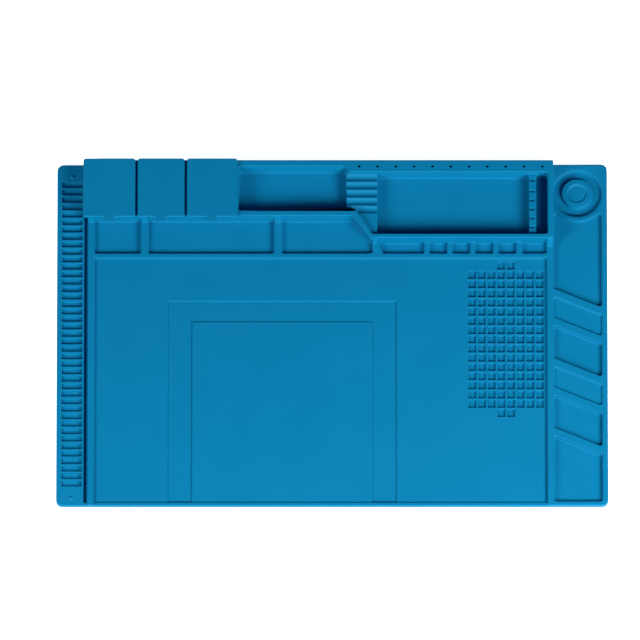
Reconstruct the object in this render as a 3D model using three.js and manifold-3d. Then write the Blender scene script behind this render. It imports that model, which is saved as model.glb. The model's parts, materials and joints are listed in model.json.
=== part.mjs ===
// Silicone heat insulation mat for bench repair work, in millimetres.
//
// One flexible moulding carries a flat work area with a phone tray and a field of screw pits,
// a strip of small cells at the left, a column of slanted trays at the right, a row of shallow
// trays and, along the back edge, a tall deck with compartments. Three lids close the boxes at
// the left end of the deck and swing up about its back edge.
//
// +X runs to the right, +Y to the back and +Z up. The origin is on the underside, at the centre
// of the plan. Sizes are those of a mat sold as 450 x 300 mm.

import * as THREE from 'three';
import { mergeVertices } from 'three/addons/utils/BufferGeometryUtils.js';
import Module from 'manifold-3d';

const wasm = await Module();
wasm.setup();

// Thicknesses and heights, from the underside up
const workFloor = 3;
const stripRise = 1.5;
const rimRise = 2.5;
const deckRise = 10;
const trayFloor = 2;
const shallowTrayDepth = 1.8;
const phoneMoatDepth = 1;
const pitFloor = 1;
const cellFloor = 2;
const grooveFloor = 1.3;
const deckFloor = 2.5;
const restDrop = 3.5;
const lidThickness = 3.2;
const lidClearance = 0.3;

// Moulding details
const draft = 0.05;
const matCorner = 6;
const trayCorner = 2.2;
const smallCorner = 1.6;
const hollowCorner = 2.4;
const cornerShare = 0.4;
const cutterHead = 20;
const overlap = 1;

// Left strip of small cells and the groove beside it
const stripBorder = 4.1;
const cellWidth = 16.7;
const cellPitch = 6.57;
const cellBar = 1.7;
const stripInnerBorder = 1.5;
const stripBackMargin = 15.1;
const stripFrontMargin = 10.8;
const beadRadius = 2;
const beadRise = 1;
const beadFromBack = 11;
const beadFromFront = 6.5;
const grooveWidth = 2.8;
const grooveEndMargin = 3;

// Rims round the work area
const sideRim = 5.5;
const frontRim = 3.2;

// Work area, from the front rim to the tray row
const workDepth = 214.3;

// Phone tray: a moat round a raised panel, open towards the front rim
const phoneFromLeft = 60.1;
const phoneWidth = 186.8;
const phoneDepth = 177.2;
const phoneSideBand = 20;
const phoneBackBand = 18.4;

// Field of screw pits
const pitColumns = 8;
const pitRows = 15;
const pitPitchX = 7.88;
const pitPitchY = 8.1;
const pitWidth = 6.3;
const pitLength = 6.5;
const pitFromRight = 2.8;
const pitFromRow = 10.7;
const extraPits = 2;

// Row of shallow trays in front of the deck
const rowRim = 4.1;
const rowTrayDepth = 29.1;
const rowDivider = 6;
const trayAWidth = 38;
const trayBWidth = 103;
const smallTrays = 4;
const smallTrayWidth = 14.8;
const smallTrayDivider = 4;
const endTrayWidth = 20.1;
const endTrayDivider = 4.8;
const trayCLean = 2.6;
const trayCGap = 0.9;
const trayTuck = 3;
const trayDInset = 5.8;
const trayDLean = 4.7;
const rampRun = 1.8;
const endRampRun = 3.6;

// Tall deck along the back edge
const deckDepth = 49.3;
const deckStepDrop = 19.3;
const deckStepRun = 14.6;
const deckBackWall = 5.6;
const deckHoleWall = 10.5;
const deckFrontWall = 4.8;
const deckFrontWallRight = 3.6;
const deckEndWall = 4.4;
const hollowChamferRun = 2.7;

// Lids and the boxes below them, from left to right
const lidWidths = [42.4, 38.4, 41.4];
const lidNames = ['lid_left', 'lid_middle', 'lid_right'];
const lidGap = 1.9;
const lidSideOverhang = 3.6;
const lidFrontOverhang = 2.2;
const lidBackCorner = 2.5;
const lidFrontCorner = 1.5;
const tabRoot = 13.5;
const tabTip = 6.6;
const tabReach = 4.9;
const boxSideWall = 3.9;
const boxFrontWall = 5.4;
const boxBackWall = 5;

// Compartments of the deck, right of the lids
const lidToCompartment = 0.7;
const compartmentOneWidth = 88.5;
const restWidth = 25.1;
const compartmentTwoWidth = 139.7;
const restToStep = 5.8;

// Tool rest between the two compartments, with round flutes across it
const restFlutes = 5;
const restFlutePitch = 7.05;
const restFluteWidth = 6.25;
const restFluteDepth = 1.4;
const restFluteSides = 8;
const restFirstFlute = 3.98;

// Comb rib in the second compartment
const combWidth = 5.8;
const combSlot = 9.6;
const combFlare = 1.8;
const combFlareRun = 3;
const combNotches = 5;
const combPitch = 7.95;
const combNotchWidth = 1.9;
const combNotchDepth = 4;
const combFirstNotch = 7;
const combBackNotch = 6.1;

// Small holes along the deck's back wall
const rackHoles = 11;
const rackHolePitch = 15;
const rackHoleRadius = 1.2;
const rackHoleDepth = 6;
const rackHoleFromBack = 5.5;
const rackHoleFromEnd = 8.9;
const rackHoleSides = 12;

// Column of slanted trays at the right
const columnWidth = 39.5;
const rightBorder = 4.6;
const columnSlant = 16.7;
const columnDivider = 7.1;
const columnFrontBorder = 3.8;
const frontTrayLength = 57.6;
const deepTrayLength = 28.7;
const shallowTrayLength = 18.3;

// Round well behind the column
const wellFromRight = 24.7;
const wellFromBack = 25.6;
const wellRadius = 20;
const wellChamfer = 1.4;
const wellChamferDepth = 0.9;
const wellRimRadius = 24.3;
const wellTopMargin = 17.7;
const hubRadius = 12.3;
const hubDraft = 0.6;
const dishRadius = 8.2;
const dishDepth = 1;
const wellSides = 64;
const beadSides = 16;

// Levels
const stripTop = workFloor + stripRise;
const frameTop = workFloor + rimRise;
const deckTop = frameTop + deckRise;
const restTop = deckTop - restDrop;

// Places along X, from the left edge; the deck's contents set the width of the work area
const lidsWidth = lidWidths.reduce((sum, width) => sum + width, 0) + lidGap * (lidWidths.length - 1);
const deckLength = lidsWidth - lidSideOverhang + lidToCompartment
  + compartmentOneWidth + restWidth + compartmentTwoWidth + deckEndWall;
const stripWidth = stripBorder + cellWidth + stripInnerBorder;
const matWidth = stripWidth + grooveWidth + deckLength + columnWidth + rightBorder;
const left = -matWidth / 2;
const right = matWidth / 2;
const cellLeft = left + stripBorder;
const cellRight = cellLeft + cellWidth;
const grooveLeft = left + stripWidth;
const deckLeft = grooveLeft + grooveWidth;
const deckRight = deckLeft + deckLength;
const workLeft = deckLeft + sideRim;
const workRight = deckRight - sideRim;
const columnRight = deckRight + columnWidth;
const compartmentOneLeft = deckLeft - lidSideOverhang + lidsWidth + lidToCompartment;
const restLeft = compartmentOneLeft + compartmentOneWidth;
const restRight = restLeft + restWidth;
const compartmentTwoRight = restRight + compartmentTwoWidth;
const stepRight = restRight - restToStep;
const stepLeft = stepRight - deckStepRun;

// Places along Y, from the front edge
const matDepth = frontRim + workDepth + rowRim + rowTrayDepth + deckDepth;
const front = -matDepth / 2;
const back = matDepth / 2;
const workFront = front + frontRim;
const rowFront = workFront + workDepth;
const rowTrayFront = rowFront + rowRim;
const deckFront = rowTrayFront + rowTrayDepth;
const deckFrontRight = deckFront - deckStepDrop;

/** Plan point. */
function at(x, y) {
  return new THREE.Vector2(x, y);
}

/** Corners of a rectangle, anticlockwise from its left front one. */
function rectangle(x0, y0, x1, y1) {
  return [at(x0, y0), at(x1, y0), at(x1, y1), at(x0, y1)];
}

/** Plan outline through the corners, each rounded off to about the given radius. */
function rounded(corners, radius) {
  const shape = new THREE.Shape();
  corners.forEach((corner, index) => {
    const before = corners.at(index - 1);
    const after = corners[(index + 1) % corners.length];
    const toBefore = corner.distanceTo(before);
    const toAfter = corner.distanceTo(after);
    const halfAngle = before.clone().sub(corner).angleTo(after.clone().sub(corner)) / 2;
    const reach = Math.min(radius / Math.tan(halfAngle), cornerShare * toBefore, cornerShare * toAfter);
    const entry = corner.clone().lerp(before, reach / toBefore);
    const exit = corner.clone().lerp(after, reach / toAfter);
    if (index === 0) {
      shape.moveTo(entry.x, entry.y);
    } else {
      shape.lineTo(entry.x, entry.y);
    }
    shape.quadraticCurveTo(corner.x, corner.y, exit.x, exit.y);
  });
  shape.closePath();
  return shape;
}

/** Closed geometry as a solid that can be joined and cut. */
function solid(geometry) {
  geometry.deleteAttribute('normal');
  geometry.deleteAttribute('uv');
  const merged = mergeVertices(geometry);
  return new wasm.Manifold(new wasm.Mesh({
    numProp: 3,
    vertProperties: new Float32Array(merged.attributes.position.array),
    triVerts: new Uint32Array(merged.index.array),
  }));
}

/** Solid as a geometry with flat faces. */
function geometryOf(body) {
  const mesh = body.getMesh();
  const geometry = new THREE.BufferGeometry();
  geometry.setAttribute('position', new THREE.BufferAttribute(mesh.vertProperties, 3));
  geometry.setIndex(new THREE.BufferAttribute(mesh.triVerts, 1));
  geometry.computeVertexNormals();
  return geometry;
}

/** Upright prism of a plan outline between two heights. */
function prism(shape, bottom, top, curveSegments = 3) {
  const geometry = new THREE.ExtrudeGeometry(shape, {
    depth: top - bottom,
    bevelEnabled: false,
    curveSegments,
  });
  return solid(geometry.translate(0, 0, bottom));
}

/** Cutter for a recess whose walls lean out from its floor up to its rim, open above. */
function recess(shape, floor, rim, curveSegments = 3) {
  const depth = rim - floor;
  const geometry = new THREE.ExtrudeGeometry(shape, {
    depth: cutterHead,
    bevelEnabled: true,
    bevelThickness: depth,
    bevelSize: draft * depth,
    bevelOffset: -draft * depth,
    bevelSegments: 1,
    curveSegments,
  });
  return solid(geometry.translate(0, 0, rim));
}

/** Upright cone frustum on the plan point. */
function frustum(centre, bottomRadius, topRadius, bottom, top, sides) {
  const geometry = new THREE.CylinderGeometry(topRadius, bottomRadius, top - bottom, sides);
  geometry.rotateX(Math.PI / 2);
  return solid(geometry.translate(centre.x, centre.y, (bottom + top) / 2));
}

/** Prism along X of a profile drawn in the YZ plane. */
function barAlongX(profile, x0, x1) {
  const geometry = new THREE.ExtrudeGeometry(new THREE.Shape(profile), {
    depth: x1 - x0,
    bevelEnabled: false,
  });
  const turn = new THREE.Matrix4().makeBasis(
    new THREE.Vector3(0, 1, 0),
    new THREE.Vector3(0, 0, 1),
    new THREE.Vector3(1, 0, 0),
  );
  return solid(geometry.applyMatrix4(turn).translate(x0, 0, 0));
}

/** All solids of a list joined into one. */
function joined(bodies) {
  return bodies.reduce((sum, body) => sum.add(body));
}

/** Base sheet with the raised frame round the work area and under the column. */
function base() {
  const outline = rounded(rectangle(left, front, right, back), matCorner);
  const sheet = prism(outline, 0, stripTop, 6);
  const frame = prism(outline, 0, frameTop, 6)
    .intersect(prism(new THREE.Shape(rectangle(deckLeft, front - overlap, right + overlap, back + overlap)),
      -overlap, frameTop + overlap));
  const frontStep = prism(new THREE.Shape(rectangle(workLeft, front - overlap, workRight, workFront + overlap)),
    stripTop, frameTop + overlap);
  return sheet.add(frame).subtract(frontStep);
}

/** Work area, sunk below the frame. */
function workArea() {
  return prism(new THREE.Shape(rectangle(workLeft, workFront, workRight, rowFront)), workFloor,
    frameTop + overlap);
}

/** Moat round the raised panel of the phone tray. */
function phoneMoat() {
  const phoneLeft = workLeft + phoneFromLeft;
  const phoneRight = phoneLeft + phoneWidth;
  const phoneBack = workFront + phoneDepth;
  const outer = rectangle(phoneLeft, workFront, phoneRight, phoneBack);
  const inner = rectangle(phoneLeft + phoneSideBand, workFront - overlap, phoneRight - phoneSideBand,
    phoneBack - phoneBackBand);
  const panel = prism(new THREE.Shape(inner), 0, frameTop);
  return prism(new THREE.Shape(outer), workFloor - phoneMoatDepth, workFloor + overlap).subtract(panel);
}

/** Screw pits: a full field with a short row centred before and behind it. */
function screwPits() {
  const fieldRight = workRight - pitFromRight - pitWidth / 2;
  const fieldBack = rowFront - pitFromRow - pitLength / 2;
  const firstExtra = (pitColumns - extraPits) / 2;
  const pits = [];
  for (let row = -1; row <= pitRows; row += 1) {
    for (let column = 0; column < pitColumns; column += 1) {
      const inField = row >= 0 && row < pitRows;
      const inShortRow = column >= firstExtra && column < firstExtra + extraPits;
      if (inField || inShortRow) {
        const x = fieldRight - column * pitPitchX;
        const y = fieldBack - row * pitPitchY;
        const outline = rectangle(x - pitWidth / 2, y - pitLength / 2, x + pitWidth / 2, y + pitLength / 2);
        pits.push(recess(new THREE.Shape(outline), pitFloor, workFloor));
      }
    }
  }
  return joined(pits);
}

/** Cells of the left strip, as many as its length holds. */
function stripCells() {
  const length = matDepth - stripBackMargin - stripFrontMargin;
  const count = Math.floor((length + cellBar) / cellPitch);
  const cells = [];
  for (let index = 0; index < count; index += 1) {
    const y = back - stripBackMargin - index * cellPitch;
    const outline = rectangle(cellLeft, y - cellPitch + cellBar, cellRight, y);
    cells.push(recess(new THREE.Shape(outline), cellFloor, stripTop));
  }
  return joined(cells);
}

/** Round bead on the strip, beyond the last cell. */
function bead(y) {
  const ball = new THREE.SphereGeometry(beadRadius, beadSides, beadSides / 2);
  return solid(ball.translate((cellLeft + cellRight) / 2, y, stripTop + beadRise - beadRadius));
}

/** Groove between the strip and the deck and frame beside it. */
function groove() {
  const outline = rectangle(grooveLeft, front + grooveEndMargin, deckLeft, back - grooveEndMargin);
  return prism(new THREE.Shape(outline), grooveFloor, frameTop + overlap);
}

/** Trays of the row in front of the deck; their back walls are the deck's front face. */
function rowTrays() {
  const behind = deckFront + trayTuck;
  const behindRight = deckFrontRight + trayTuck;
  const trayBLeft = workLeft + trayAWidth + rowDivider;
  const trayCLeft = trayBLeft + trayBWidth + rowDivider;
  const endLeft = workRight - endTrayWidth;
  const trayA = rectangle(workLeft, rowTrayFront, workLeft + trayAWidth, behind);
  const trayB = rectangle(trayBLeft, rowTrayFront, trayBLeft + trayBWidth, behind);
  const trayC = [
    at(trayCLeft, rowTrayFront),
    at(stepRight + trayCLean, rowTrayFront),
    at(stepRight + trayCGap, behindRight),
    at(stepLeft + trayTuck, behind),
    at(trayCLeft, behind),
  ];
  const endTray = rectangle(endLeft, rowTrayFront, workRight, behindRight);
  const large = [trayA, trayB, trayC].map((corners) => recess(rounded(corners, trayCorner), trayFloor, frameTop));
  const small = [endTray];
  let smallRight = endLeft - endTrayDivider;
  for (let index = 0; index < smallTrays; index += 1) {
    small.push(rectangle(smallRight - smallTrayWidth, rowTrayFront, smallRight, behindRight));
    smallRight -= smallTrayWidth + smallTrayDivider;
  }
  small.push([
    at(stepRight + trayDInset + trayDLean, rowTrayFront),
    at(smallRight, rowTrayFront),
    at(smallRight, behindRight),
    at(stepRight + trayDInset, behindRight),
  ]);
  const smallCutters = small.map((corners) => recess(rounded(corners, smallCorner), trayFloor, frameTop));
  return joined([...large, ...smallCutters]);
}

/** Outline of the tall deck, with its slanted step. */
function deckOutline() {
  return new THREE.Shape([
    at(deckLeft, deckFront),
    at(stepLeft, deckFront),
    at(stepRight, deckFrontRight),
    at(deckRight, deckFrontRight),
    at(deckRight, back),
    at(deckLeft, back),
  ]);
}

/** Ramp that carries a rim of the tray row up the deck's front face. */
function ramp(x0, x1, face, run) {
  return barAlongX([
    at(face - run, frameTop),
    at(face - run, frameTop - overlap),
    at(face + overlap, frameTop - overlap),
    at(face + overlap, deckTop),
    at(face, deckTop),
  ], x0, x1);
}

/** Ramps at both end rims and at the three dividers that reach the deck. */
function ramps() {
  const dividerOne = workLeft + trayAWidth;
  const dividerTwo = dividerOne + rowDivider + trayBWidth;
  return joined([
    ramp(deckLeft, workLeft, deckFront, rampRun),
    ramp(dividerOne, dividerOne + rowDivider, deckFront, rampRun),
    ramp(dividerTwo, dividerTwo + rowDivider, deckFront, rampRun),
    ramp(stepRight + trayCGap + overlap, stepRight + trayDInset, deckFrontRight, rampRun),
    ramp(workRight, deckRight, deckFrontRight, endRampRun),
  ]);
}

/** Hollow of both compartments and of the tool rest between them. */
function deckHollow() {
  const hollowBack = back - deckBackWall;
  const hollowFront = deckFront + deckFrontWall;
  const hollowFrontRight = deckFrontRight + deckFrontWallRight;
  const corners = [
    at(compartmentOneLeft, hollowFront),
    at(stepLeft + deckFrontWallRight, hollowFront),
    at(stepRight + deckFrontWallRight / 2, hollowFrontRight),
    at(compartmentTwoRight, hollowFrontRight),
    at(compartmentTwoRight, back - deckHoleWall),
    at(restLeft + hollowChamferRun / 2, back - deckHoleWall),
    at(restLeft - hollowChamferRun / 2, hollowBack),
    at(compartmentOneLeft, hollowBack),
  ];
  return recess(rounded(corners, hollowCorner), deckFloor, deckTop);
}

/** Round flute across the tool rest. */
function flute(y) {
  const half = restFluteWidth / 2;
  const radius = (half * half + restFluteDepth * restFluteDepth) / (2 * restFluteDepth);
  const reach = Math.asin(half / radius);
  const profile = [at(y + half, restTop + overlap), at(y - half, restTop + overlap)];
  for (let side = 0; side <= restFluteSides; side += 1) {
    const angle = reach * (2 * side / restFluteSides - 1);
    profile.push(at(y + radius * Math.sin(angle),
      restTop - restFluteDepth + radius * (1 - Math.cos(angle))));
  }
  return barAlongX(profile, restLeft - overlap, restRight + overlap);
}

/** Fluted block on which tools lie across the deck. */
function toolRest() {
  const block = prism(new THREE.Shape(rectangle(restLeft, deckFrontRight, restRight, back - overlap)),
    deckFloor - overlap, restTop);
  const firstFlute = back - deckHoleWall - restFirstFlute;
  const flutes = [];
  for (let index = 0; index < restFlutes; index += 1) {
    flutes.push(flute(firstFlute - index * restFlutePitch));
  }
  return block.subtract(joined(flutes));
}

/** Comb rib with notches for fine tools. */
function comb() {
  const combRight = compartmentTwoRight - combSlot;
  const combLeft = combRight - combWidth;
  const wall = back - deckHoleWall;
  const frontWall = deckFrontRight + deckFrontWallRight;
  const rib = prism(new THREE.Shape([
    at(combLeft, deckFrontRight + overlap),
    at(combRight, deckFrontRight + overlap),
    at(combRight, wall - combFlareRun),
    at(combRight + combFlare, wall),
    at(combRight + combFlare, wall + overlap),
    at(combLeft - combFlare, wall + overlap),
    at(combLeft - combFlare, wall),
    at(combLeft, wall - combFlareRun),
  ]), deckFloor - overlap, restTop);
  const notchPlaces = [wall - combBackNotch];
  for (let index = 0; index < combNotches; index += 1) {
    notchPlaces.push(frontWall + combFirstNotch + index * combPitch);
  }
  const notches = notchPlaces.map((y) => prism(new THREE.Shape(
    rectangle(combLeft - overlap, y - combNotchWidth / 2, combRight + overlap, y + combNotchWidth / 2),
  ), restTop - combNotchDepth, restTop + overlap));
  return rib.subtract(joined(notches));
}

/** Small holes along the deck's back wall. */
function rackHolesCutter() {
  const holes = [];
  for (let index = 0; index < rackHoles; index += 1) {
    const centre = at(deckRight - rackHoleFromEnd - index * rackHolePitch, back - rackHoleFromBack);
    holes.push(frustum(centre, rackHoleRadius, rackHoleRadius, deckTop - rackHoleDepth, deckTop + overlap,
      rackHoleSides));
  }
  return joined(holes);
}

/** Left edge of each lid, along X. */
function lidLefts() {
  let x = deckLeft - lidSideOverhang;
  return lidWidths.map((width) => {
    const start = x;
    x += width + lidGap;
    return start;
  });
}

/** Boxes under the lids, each inside the edge of its own lid. */
function lidBoxes() {
  const boxes = lidLefts().map((lidLeft, index) => {
    const boxLeft = Math.max(lidLeft, deckLeft) + boxSideWall;
    const boxRight = lidLeft + lidWidths[index] - boxSideWall;
    const outline = rectangle(boxLeft, deckFront + boxFrontWall, boxRight, back - boxBackWall);
    return recess(rounded(outline, hollowCorner), deckFloor, deckTop);
  });
  return joined(boxes);
}

/** Slanted trays of the column: depth and length from the front one to the one below the well. */
function columnTrays() {
  const deepFloor = trayFloor;
  const shallowFloor = frameTop - shallowTrayDepth;
  const trays = [
    { length: deepTrayLength, floor: deepFloor },
    { length: shallowTrayLength, floor: shallowFloor },
    { length: deepTrayLength, floor: deepFloor },
    { length: shallowTrayLength, floor: shallowFloor },
  ];
  const trayFront = front + columnFrontBorder;
  let y = trayFront + frontTrayLength;
  const cutters = [recess(rounded([
    at(deckRight, trayFront),
    at(columnRight, trayFront),
    at(columnRight, y - columnSlant),
    at(deckRight, y),
  ], trayCorner), deepFloor, frameTop)];
  y += columnDivider;
  trays.forEach(({ length, floor }) => {
    cutters.push(recess(rounded([
      at(deckRight, y),
      at(columnRight, y - columnSlant),
      at(columnRight, y + length - columnSlant),
      at(deckRight, y + length),
    ], trayCorner), floor, frameTop));
    y += length + columnDivider;
  });
  const well = wellCentre();
  const wellBank = frustum(well, wellRimRadius + draft * (frameTop - deepFloor), wellRimRadius,
    deepFloor - overlap, frameTop, wellSides);
  const wellAbove = frustum(well, wellRimRadius, wellRimRadius, frameTop, frameTop + cutterHead * 2, wellSides);
  cutters.push(recess(rounded([
    at(deckRight, y),
    at(columnRight, y - columnSlant),
    at(columnRight, well.y - wellTopMargin),
    at(deckRight, well.y - wellTopMargin),
  ], trayCorner), deepFloor, frameTop).subtract(wellBank).subtract(wellAbove));
  return joined(cutters);
}

/** Centre of the round well. */
function wellCentre() {
  return at(right - wellFromRight, back - wellFromBack);
}

/** Round trough with a chamfered rim about a hub, and the dish in the hub. */
function well() {
  const centre = wellCentre();
  const chamferFoot = frameTop - wellChamferDepth;
  const footRadius = wellRadius - draft * (chamferFoot - trayFloor);
  const trough = frustum(centre, footRadius, wellRadius, trayFloor, chamferFoot, wellSides);
  const hub = frustum(centre, hubRadius + hubDraft, hubRadius, trayFloor - overlap, frameTop, wellSides);
  const slope = wellChamfer / wellChamferDepth;
  const chamfer = frustum(centre, wellRadius, wellRadius + slope * (wellChamferDepth + overlap), chamferFoot,
    frameTop + overlap, wellSides);
  const dish = frustum(centre, dishRadius - dishDepth, dishRadius + overlap, frameTop - dishDepth,
    frameTop + overlap, wellSides / 2);
  return trough.add(chamfer).subtract(hub).add(dish);
}

/** The whole moulding. */
function mat() {
  return base()
    .subtract(workArea())
    .subtract(phoneMoat())
    .subtract(screwPits())
    .subtract(stripCells())
    .add(bead(back - beadFromBack))
    .add(bead(front + beadFromFront))
    .subtract(groove())
    .subtract(rowTrays())
    .subtract(columnTrays())
    .subtract(well())
    .add(prism(deckOutline(), 0, deckTop))
    .add(ramps())
    .subtract(deckHollow())
    .add(toolRest().add(comb()).intersect(prism(deckOutline(), 0, deckTop)))
    .subtract(lidBoxes())
    .subtract(rackHolesCutter());
}

/** One lid about its hinge line: its back edge on Y = 0, its underside just above Z = 0. */
function lid(width) {
  const half = width / 2;
  const depth = deckDepth + lidFrontOverhang;
  const shape = new THREE.Shape();
  shape.moveTo(-half, -depth + lidFrontCorner);
  shape.quadraticCurveTo(-half, -depth, -half + lidFrontCorner, -depth);
  shape.lineTo(-tabRoot / 2, -depth);
  shape.quadraticCurveTo(-tabTip / 2, -depth, -tabTip / 2, -depth - tabReach);
  shape.lineTo(tabTip / 2, -depth - tabReach);
  shape.quadraticCurveTo(tabTip / 2, -depth, tabRoot / 2, -depth);
  shape.lineTo(half - lidFrontCorner, -depth);
  shape.quadraticCurveTo(half, -depth, half, -depth + lidFrontCorner);
  shape.lineTo(half, -lidBackCorner);
  shape.quadraticCurveTo(half, 0, half - lidBackCorner, 0);
  shape.lineTo(-half + lidBackCorner, 0);
  shape.quadraticCurveTo(-half, 0, -half, -lidBackCorner);
  shape.closePath();
  const underside = lidClearance / 2;
  return prism(shape, underside, underside + lidThickness, 5);
}

/** Matt blue silicone rubber. */
function silicone() {
  return new THREE.MeshStandardMaterial({ color: '#0a80b4', roughness: 0.62, metalness: 0 });
}

const object = new THREE.Group();
const matMesh = new THREE.Mesh(geometryOf(mat()), silicone());
matMesh.name = 'mat';
object.add(matMesh);
lidLefts().forEach((lidLeft, index) => {
  const mesh = new THREE.Mesh(geometryOf(lid(lidWidths[index])), silicone());
  mesh.name = lidNames[index];
  mesh.position.set(lidLeft + lidWidths[index] / 2, back, deckTop + lidClearance / 2);
  object.add(mesh);
});

export default object;
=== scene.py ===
"""Blue silicone repair mat with three flip lids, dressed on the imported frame.

The solids are copied, merged into plain faces and given the soft edges of a moulding, then dressed
in matt silicone rubber. The camera looks down from the front as the photograph does.
"""

import json
import logging
import math
from dataclasses import dataclass, field
from enum import Enum

import bmesh
import bpy
from mathutils import Matrix, Vector

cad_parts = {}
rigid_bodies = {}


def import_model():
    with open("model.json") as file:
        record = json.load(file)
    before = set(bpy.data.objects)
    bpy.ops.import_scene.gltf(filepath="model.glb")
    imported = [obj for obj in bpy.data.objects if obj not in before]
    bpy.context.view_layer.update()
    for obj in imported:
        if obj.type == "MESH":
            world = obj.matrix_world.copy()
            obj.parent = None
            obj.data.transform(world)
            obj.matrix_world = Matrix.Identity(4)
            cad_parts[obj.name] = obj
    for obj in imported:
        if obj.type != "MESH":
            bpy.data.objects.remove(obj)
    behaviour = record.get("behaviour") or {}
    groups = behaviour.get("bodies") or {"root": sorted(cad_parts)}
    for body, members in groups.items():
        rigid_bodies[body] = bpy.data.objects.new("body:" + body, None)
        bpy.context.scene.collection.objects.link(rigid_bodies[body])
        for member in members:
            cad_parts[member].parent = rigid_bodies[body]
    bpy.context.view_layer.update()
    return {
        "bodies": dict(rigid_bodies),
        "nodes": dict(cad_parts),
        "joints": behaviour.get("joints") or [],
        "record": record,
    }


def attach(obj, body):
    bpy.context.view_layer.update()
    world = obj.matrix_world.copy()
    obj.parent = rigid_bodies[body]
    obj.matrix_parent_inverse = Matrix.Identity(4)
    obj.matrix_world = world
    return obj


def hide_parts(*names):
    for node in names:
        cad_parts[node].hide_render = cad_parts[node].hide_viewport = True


log = logging.getLogger("repair_mat")

MM = 0.001
STRENGTH_LAYER = "__mod_weightednormals_faceweight"
FULL_STRENGTH = 16384
LEVEL_NORMAL = 0.9999
# The mix node names its colour sockets as it names its other ones, so they go by number
MIX_COLOUR_A = 6
MIX_COLOUR_B = 7
MIX_COLOUR_RESULT = 2


def linear(hex_colour: str) -> tuple[float, float, float, float]:
    """Turn an sRGB hex colour into linear light.

    Args:
        hex_colour: Colour such as "#0a80b4".

    Returns:
        Linear red, green and blue, with full alpha.
    """
    channels = [int(hex_colour[start:start + 2], 16) / 255 for start in (1, 3, 5)]
    red, green, blue = [
        c / 12.92 if c <= 0.04045 else ((c + 0.055) / 1.055) ** 2.4 for c in channels
    ]
    return red, green, blue, 1.0


def add_node(
    tree: bpy.types.NodeTree,
    kind: str,
    settings: dict[str, object] | None = None,
    links: dict[str, bpy.types.NodeSocket] | None = None,
) -> bpy.types.Node:
    """Add a shader node with its settings and incoming links.

    Args:
        tree: Node tree of the material or world.
        kind: Node type, such as "ShaderNodeBsdfPrincipled".
        settings: Values by input name, or by attribute name where no input has it.
        links: Output sockets by the name of the input that they feed.

    Returns:
        The new node.
    """
    node = tree.nodes.new(kind)
    for name, value in (settings or {}).items():
        if name in node.inputs:
            node.inputs[name].default_value = value
        else:
            setattr(node, name, value)
    for name, source in (links or {}).items():
        tree.links.new(source, node.inputs[name])
    return node


@dataclass(frozen=True)
class SiliconeRubber:
    """Pressure-moulded silicone rubber with a matt, faintly mottled skin."""

    name: str = "silicone_rubber_moulded"
    pale: str = "#017aa5"
    deep: str = "#01739d"
    roughness_low: float = 0.5
    roughness_high: float = 0.62
    refraction: float = 1.41
    specular_level: float = 0.2
    mottle_mm: float = 42.0
    mottle_detail: float = 3.0
    mottle_roughness: float = 0.5
    grain_mm: float = 0.9
    grain_detail: float = 2.0
    grain_roughness: float = 0.6
    grain_height_mm: float = 0.02

    def material(self) -> bpy.types.Material:
        """Build the material.

        Returns:
            The material, with its patterns on Object coordinates.
        """
        material = bpy.data.materials.new(self.name)
        material.use_nodes = True
        tree = material.node_tree
        tree.nodes.clear()
        place = add_node(tree, "ShaderNodeTexCoord").outputs["Object"]
        # Broad, faint clouds of pigment, as pressed rubber has them
        mottle = add_node(tree, "ShaderNodeTexNoise",
                          {"Scale": 1 / (self.mottle_mm * MM), "Detail": self.mottle_detail,
                           "Roughness": self.mottle_roughness},
                          {"Vector": place}).outputs["Fac"]
        colour = add_node(tree, "ShaderNodeMix", {"data_type": "RGBA"})
        colour.inputs[MIX_COLOUR_A].default_value = linear(self.deep)
        colour.inputs[MIX_COLOUR_B].default_value = linear(self.pale)
        tree.links.new(mottle, colour.inputs["Factor"])
        # Sandblasted mould skin, drawn a little coarser than the real grain so that it shows
        grain = add_node(tree, "ShaderNodeTexNoise",
                         {"Scale": 1 / (self.grain_mm * MM), "Detail": self.grain_detail,
                          "Roughness": self.grain_roughness},
                         {"Vector": place}).outputs["Fac"]
        roughness = add_node(tree, "ShaderNodeMapRange",
                             {"To Min": self.roughness_low, "To Max": self.roughness_high},
                             {"Value": mottle}).outputs["Result"]
        bump = add_node(tree, "ShaderNodeBump",
                        {"Strength": 1.0, "Distance": self.grain_height_mm * MM},
                        {"Height": grain}).outputs["Normal"]
        shader = add_node(tree, "ShaderNodeBsdfPrincipled",
                          {"IOR": self.refraction, "Specular IOR Level": self.specular_level,
                           "Metallic": 0.0},
                          {"Base Color": colour.outputs[MIX_COLOUR_RESULT],
                           "Roughness": roughness, "Normal": bump})
        add_node(tree, "ShaderNodeOutputMaterial", links={"Surface": shader.outputs["BSDF"]})
        return material


class EdgeRadius(Enum):
    """Radii of the moulding's soft edges, in millimetres."""

    OPEN = 0.8
    SMALL_FEATURE = 0.4
    HOLE = 0.25


@dataclass(frozen=True)
class EdgeZone:
    """A stretch of the plan whose edges share one radius, in millimetres."""

    low: tuple[float, float]
    high: tuple[float, float]
    radius: EdgeRadius

    def holds(self, point: Vector) -> bool:
        """Tell whether a point lies over the zone.

        Args:
            point: Point in metres.

        Returns:
            True over the zone and on its border.
        """
        x, y = point.x / MM, point.y / MM
        return self.low[0] <= x <= self.high[0] and self.low[1] <= y <= self.high[1]


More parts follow.
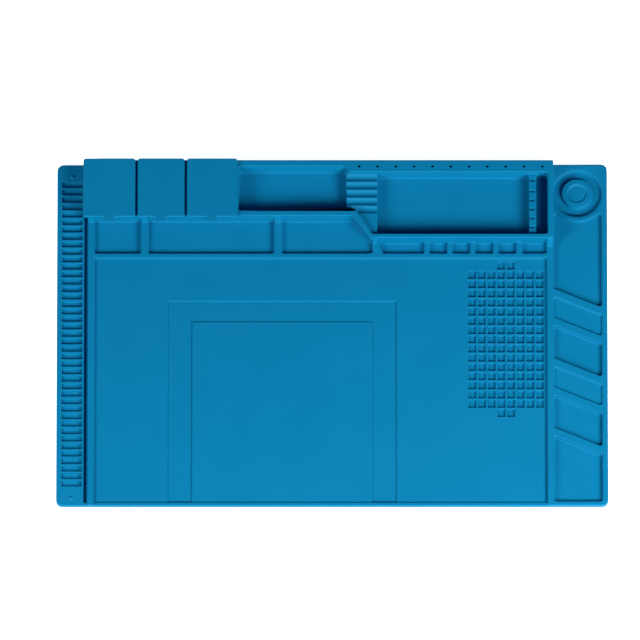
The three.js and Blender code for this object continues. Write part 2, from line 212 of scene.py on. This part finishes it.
@dataclass
class SoftEdgedPiece:
    """A moulded piece made from a frame node, with its sharp edges rounded."""

    node: str
    body: str
    name: str
    zones: list[EdgeZone] = field(default_factory=list)
    merge_distance: float = 0.001 * MM
    flat_angle: float = math.radians(1)
    sharp_angle: float = math.radians(35)
    segments: int = 3
    level_tolerance: float = 0.002 * MM
    scan_turn: float = math.radians(90)

    def edge_radius(self, edge: bmesh.types.BMEdge) -> EdgeRadius:
        """Give the radius of one sharp edge from the zone that it lies in.

        Args:
            edge: Sharp edge of the node's mesh.

        Returns:
            The radius of the first zone that holds the edge's middle.
        """
        middle = (edge.verts[0].co + edge.verts[1].co) / 2
        return next((zone.radius for zone in self.zones if zone.holds(middle)), EdgeRadius.OPEN)

    def marked_mesh(self, source: bpy.types.Object) -> bpy.types.Mesh:
        """Merge the node's loose triangles into plain faces and mark its edges for rounding.

        Args:
            source: The frame node.

        Returns:
            A new mesh whose sharp edges carry bevel weights.
        """
        shape = bmesh.new()
        shape.from_mesh(source.data)
        bmesh.ops.remove_doubles(shape, verts=shape.verts, dist=self.merge_distance)
        bmesh.ops.dissolve_limit(shape, angle_limit=self.flat_angle,
                                 verts=shape.verts, edges=shape.edges)
        weights = shape.edges.layers.float.new("bevel_weight_edge")
        for edge in shape.edges:
            if len(edge.link_faces) == 2 and edge.calc_face_angle(0) > self.sharp_angle:
                edge[weights] = self.edge_radius(edge).value / EdgeRadius.OPEN.value
        mesh = bpy.data.meshes.new(self.name)
        shape.to_mesh(mesh)
        shape.free()
        return mesh

    def rounded_mesh(self, marked: bpy.types.Mesh) -> bpy.types.Mesh:
        """Round the marked edges, each to its own radius.

        Args:
            marked: Mesh whose edges carry bevel weights.

        Returns:
            A new mesh, whose plain faces keep full strength for the shading.
        """
        holder = bpy.data.objects.new(f"{self.name}_holder", marked)
        bpy.context.scene.collection.objects.link(holder)
        bevel = holder.modifiers.new("soft_edges", "BEVEL")
        bevel.limit_method = "WEIGHT"
        bevel.offset_type = "OFFSET"
        bevel.width = EdgeRadius.OPEN.value * MM
        bevel.segments = self.segments
        bevel.profile = 0.5
        bevel.material = -1
        bevel.use_clamp_overlap = False
        bevel.loop_slide = False
        bevel.face_strength_mode = "FSTR_ALL"
        graph = bpy.context.evaluated_depsgraph_get()
        rounded = bpy.data.meshes.new_from_object(holder.evaluated_get(graph))
        rounded.name = self.name
        bpy.data.objects.remove(holder)
        return rounded

    def relay_flats(self, mesh: bpy.types.Mesh) -> None:
        """Lay every level face anew inside its rounded rims, so that none folds over.

        Args:
            mesh: Rounded mesh, changed in place.
        """
        shape = bmesh.new()
        shape.from_mesh(mesh)
        # The fill scans row by row, so the mat is laid with its long side across the rows
        turn = Matrix.Rotation(self.scan_turn, 3, "Z")
        bmesh.ops.rotate(shape, verts=shape.verts, matrix=turn)
        strength = shape.faces.layers.int[STRENGTH_LAYER]
        flats: dict[int, list[bmesh.types.BMFace]] = {}
        for face in shape.faces:
            if face[strength] == FULL_STRENGTH and abs(face.normal.z) > LEVEL_NORMAL:
                level = round(face.calc_center_median().z / self.level_tolerance)
                flats.setdefault(level, []).append(face)
        for faces in flats.values():
            up = sum(face.normal.z * face.calc_area() for face in faces) > 0
            inside = set(faces)
            rim = [edge for face in faces for edge in face.edges
                   if sum(other in inside for other in edge.link_faces) == 1]
            bmesh.ops.delete(shape, geom=faces, context="FACES")
            rim = [edge for edge in dict.fromkeys(rim) if edge.is_valid]
            filled = bmesh.ops.triangle_fill(shape, edges=rim, use_beauty=True,
                                             normal=Vector((0.0, 0.0, 1.0 if up else -1.0)))
            for face in (item for item in filled["geom"] if isinstance(item, bmesh.types.BMFace)):
                face[strength] = FULL_STRENGTH
                if (face.normal.z > 0) != up:
                    face.normal_flip()
        bmesh.ops.rotate(shape, verts=shape.verts, matrix=turn.inverted())
        shape.to_mesh(mesh)
        shape.free()

    def build(self, frame: dict, finish: bpy.types.Material) -> bpy.types.Object:
        """Make the piece, dress it and let it stand for its node.

        Args:
            frame: The loaded frame.
            finish: Material of the piece.

        Returns:
            The finished object.
        """
        mesh = self.rounded_mesh(self.marked_mesh(frame["nodes"][self.node]))
        self.relay_flats(mesh)
        mesh.shade_smooth()
        mesh.materials.clear()
        mesh.materials.append(finish)
        piece = bpy.data.objects.new(self.name, mesh)
        bpy.context.scene.collection.objects.link(piece)
        shading = piece.modifiers.new("flat_faces_stay_flat", "WEIGHTED_NORMAL")
        shading.mode = "FACE_AREA"
        shading.use_face_influence = True
        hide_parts(self.node)
        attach(piece, self.body)
        log.info("%s made from %s", self.name, self.node)
        return piece


@dataclass
class RepairMat:
    """The mat's moulding and its three lids.

    The zones keep the radius small where edges lie close together. The first zone that holds an
    edge counts, and every other edge has the open radius.
    """

    cells: EdgeZone = EdgeZone((-221.5, -140.0), (-203.9, 136.0), EdgeRadius.SMALL_FEATURE)
    back_bead: EdgeZone = EdgeZone((-216.0, 136.5), (-209.0, 142.0), EdgeRadius.HOLE)
    front_bead: EdgeZone = EdgeZone((-216.0, -146.5), (-209.0, -141.0), EdgeRadius.HOLE)
    pits: EdgeZone = EdgeZone((108.0, -75.0), (174.0, 66.0), EdgeRadius.SMALL_FEATURE)
    step_corner: EdgeZone = EdgeZone((29.0, 69.0), (38.5, 84.0), EdgeRadius.HOLE)
    rest: EdgeZone = EdgeZone((10.0, 100.0), (38.0, 141.0), EdgeRadius.HOLE)
    rest_back: EdgeZone = EdgeZone((8.0, 135.0), (16.0, 146.0), EdgeRadius.HOLE)
    well: EdgeZone = EdgeZone((179.0, 98.0), (225.0, 150.0), EdgeRadius.SMALL_FEATURE)
    comb: EdgeZone = EdgeZone((158.0, 85.5), (170.0, 139.0), EdgeRadius.SMALL_FEATURE)
    holes: EdgeZone = EdgeZone((18.0, 143.0), (176.0, 146.0), EdgeRadius.HOLE)
    phone_tray: EdgeZone = EdgeZone((-136.0, -146.5), (54.0, 32.0), EdgeRadius.SMALL_FEATURE)
    lid_nodes: tuple[str, ...] = ("lid_left", "lid_middle", "lid_right")

    def build(self, frame: dict) -> list[bpy.types.Object]:
        """Build every piece of the mat.

        Args:
            frame: The loaded frame.

        Returns:
            The pieces, the moulding first.
        """
        silicone = SiliconeRubber().material()
        zones = [self.cells, self.back_bead, self.front_bead, self.pits, self.step_corner,
                 self.rest, self.rest_back, self.well, self.comb, self.holes, self.phone_tray]
        pieces = [SoftEdgedPiece("mat", "mat", "mat_moulding", zones).build(frame, silicone)]
        for lid in self.lid_nodes:
            pieces.append(SoftEdgedPiece(lid, lid, f"{lid}_moulding").build(frame, silicone))
        return pieces


@dataclass(frozen=True)
class PhotoCamera:
    """Long-lens view from the front, steeply down, with the scale of the photograph."""

    elevation: float = math.radians(68.1)
    distance: float = 20.0
    nearest: float = 0.01
    farthest: float = 80.0
    aim: tuple[float, float, float] = (-0.00999, 0.01489, 0.0)
    pixels_per_metre: float = 1223.8
    picture_width: int = 640
    sensor_mm: float = 36.0

    def build(self) -> bpy.types.Object:
        """Create the camera and make it the scene's own.

        Returns:
            The camera object.
        """
        data = bpy.data.cameras.new("photo_camera")
        data.sensor_width = self.sensor_mm
        data.lens = self.sensor_mm * self.pixels_per_metre * self.distance / self.picture_width
        data.clip_start = self.nearest
        data.clip_end = self.farthest
        camera = bpy.data.objects.new("photo_camera", data)
        bpy.context.scene.collection.objects.link(camera)
        away = Vector((0.0, -math.cos(self.elevation), math.sin(self.elevation)))
        camera.location = Vector(self.aim) + away * self.distance
        camera.rotation_euler = (math.pi / 2 - self.elevation, 0.0, 0.0)
        bpy.context.scene.camera = camera
        return camera


@dataclass(frozen=True)
class Softbox:
    """A square studio light aimed at the mat."""

    name: str
    place: tuple[float, float, float]
    size: float
    power: float

    def build(self, target: Vector) -> bpy.types.Object:
        """Create the light and turn it to the target.

        Args:
            target: Point that the light faces.

        Returns:
            The light object.
        """
        data = bpy.data.lights.new(self.name, "AREA")
        data.shape = "SQUARE"
        data.size = self.size
        data.energy = self.power
        light = bpy.data.objects.new(self.name, data)
        bpy.context.scene.collection.objects.link(light)
        light.location = self.place
        light.rotation_euler = (Vector(self.place) - target).to_track_quat("Z", "Y").to_euler()
        return light


@dataclass
class Studio:
    """Plain white floor, faint bluish room light and two softboxes."""

    room_colour: str = "#4f9cff"
    room_strength: float = 0.11
    floor_half_width: float = 6.0
    floor_colour: str = "#fbfbfb"
    floor_roughness: float = 0.9
    floor_glow: float = 1.0
    aim: tuple[float, float, float] = (0.0, 0.0, 0.0)
    boxes: tuple[Softbox, ...] = (
        Softbox("softbox_front_right", (0.85, -0.8, 0.78), 0.6, 25.5),
        Softbox("softbox_front_left", (-1.0, -0.8, 0.82), 0.6, 17.5),
    )

    def floor(self) -> bpy.types.Object:
        """Make the glowing white floor.

        Returns:
            The floor object.
        """
        shape = bmesh.new()
        bmesh.ops.create_grid(shape, x_segments=1, y_segments=1, size=self.floor_half_width)
        mesh = bpy.data.meshes.new("studio_floor")
        shape.to_mesh(mesh)
        shape.free()
        floor = bpy.data.objects.new("studio_floor", mesh)
        bpy.context.scene.collection.objects.link(floor)
        material = bpy.data.materials.new("painted_backdrop")
        material.use_nodes = True
        shader = material.node_tree.nodes["Principled BSDF"]
        shader.inputs["Base Color"].default_value = linear(self.floor_colour)
        shader.inputs["Roughness"].default_value = self.floor_roughness
        shader.inputs["Specular IOR Level"].default_value = 0.0
        shader.inputs["Emission Color"].default_value = linear(self.floor_colour)
        shader.inputs["Emission Strength"].default_value = self.floor_glow
        floor.data.materials.append(material)
        return floor

    def room(self) -> None:
        """Set the faint room light."""
        world = bpy.data.worlds.new("studio_room")
        world.use_nodes = True
        background = world.node_tree.nodes["Background"]
        background.inputs["Color"].default_value = linear(self.room_colour)
        background.inputs["Strength"].default_value = self.room_strength
        bpy.context.scene.world = world

    def build(self) -> None:
        """Set up floor, room light and softboxes."""
        self.floor()
        self.room()
        for box in self.boxes:
            box.build(Vector(self.aim))
        bpy.context.scene.view_settings.view_transform = "Standard"
        bpy.context.scene.view_settings.look = "None"
        log.info("studio ready with %d softboxes", len(self.boxes))


def main() -> None:
    """Build the camera, the mat and the studio, and log how many pieces were built."""
    logging.basicConfig(level=logging.INFO, format="%(name)s: %(message)s")
    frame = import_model()
    PhotoCamera().build()
    pieces = RepairMat().build(frame)
    Studio().build()
    bpy.context.view_layer.update()
    log.info("%d pieces built", len(pieces))


if __name__ == "__main__":
    main()
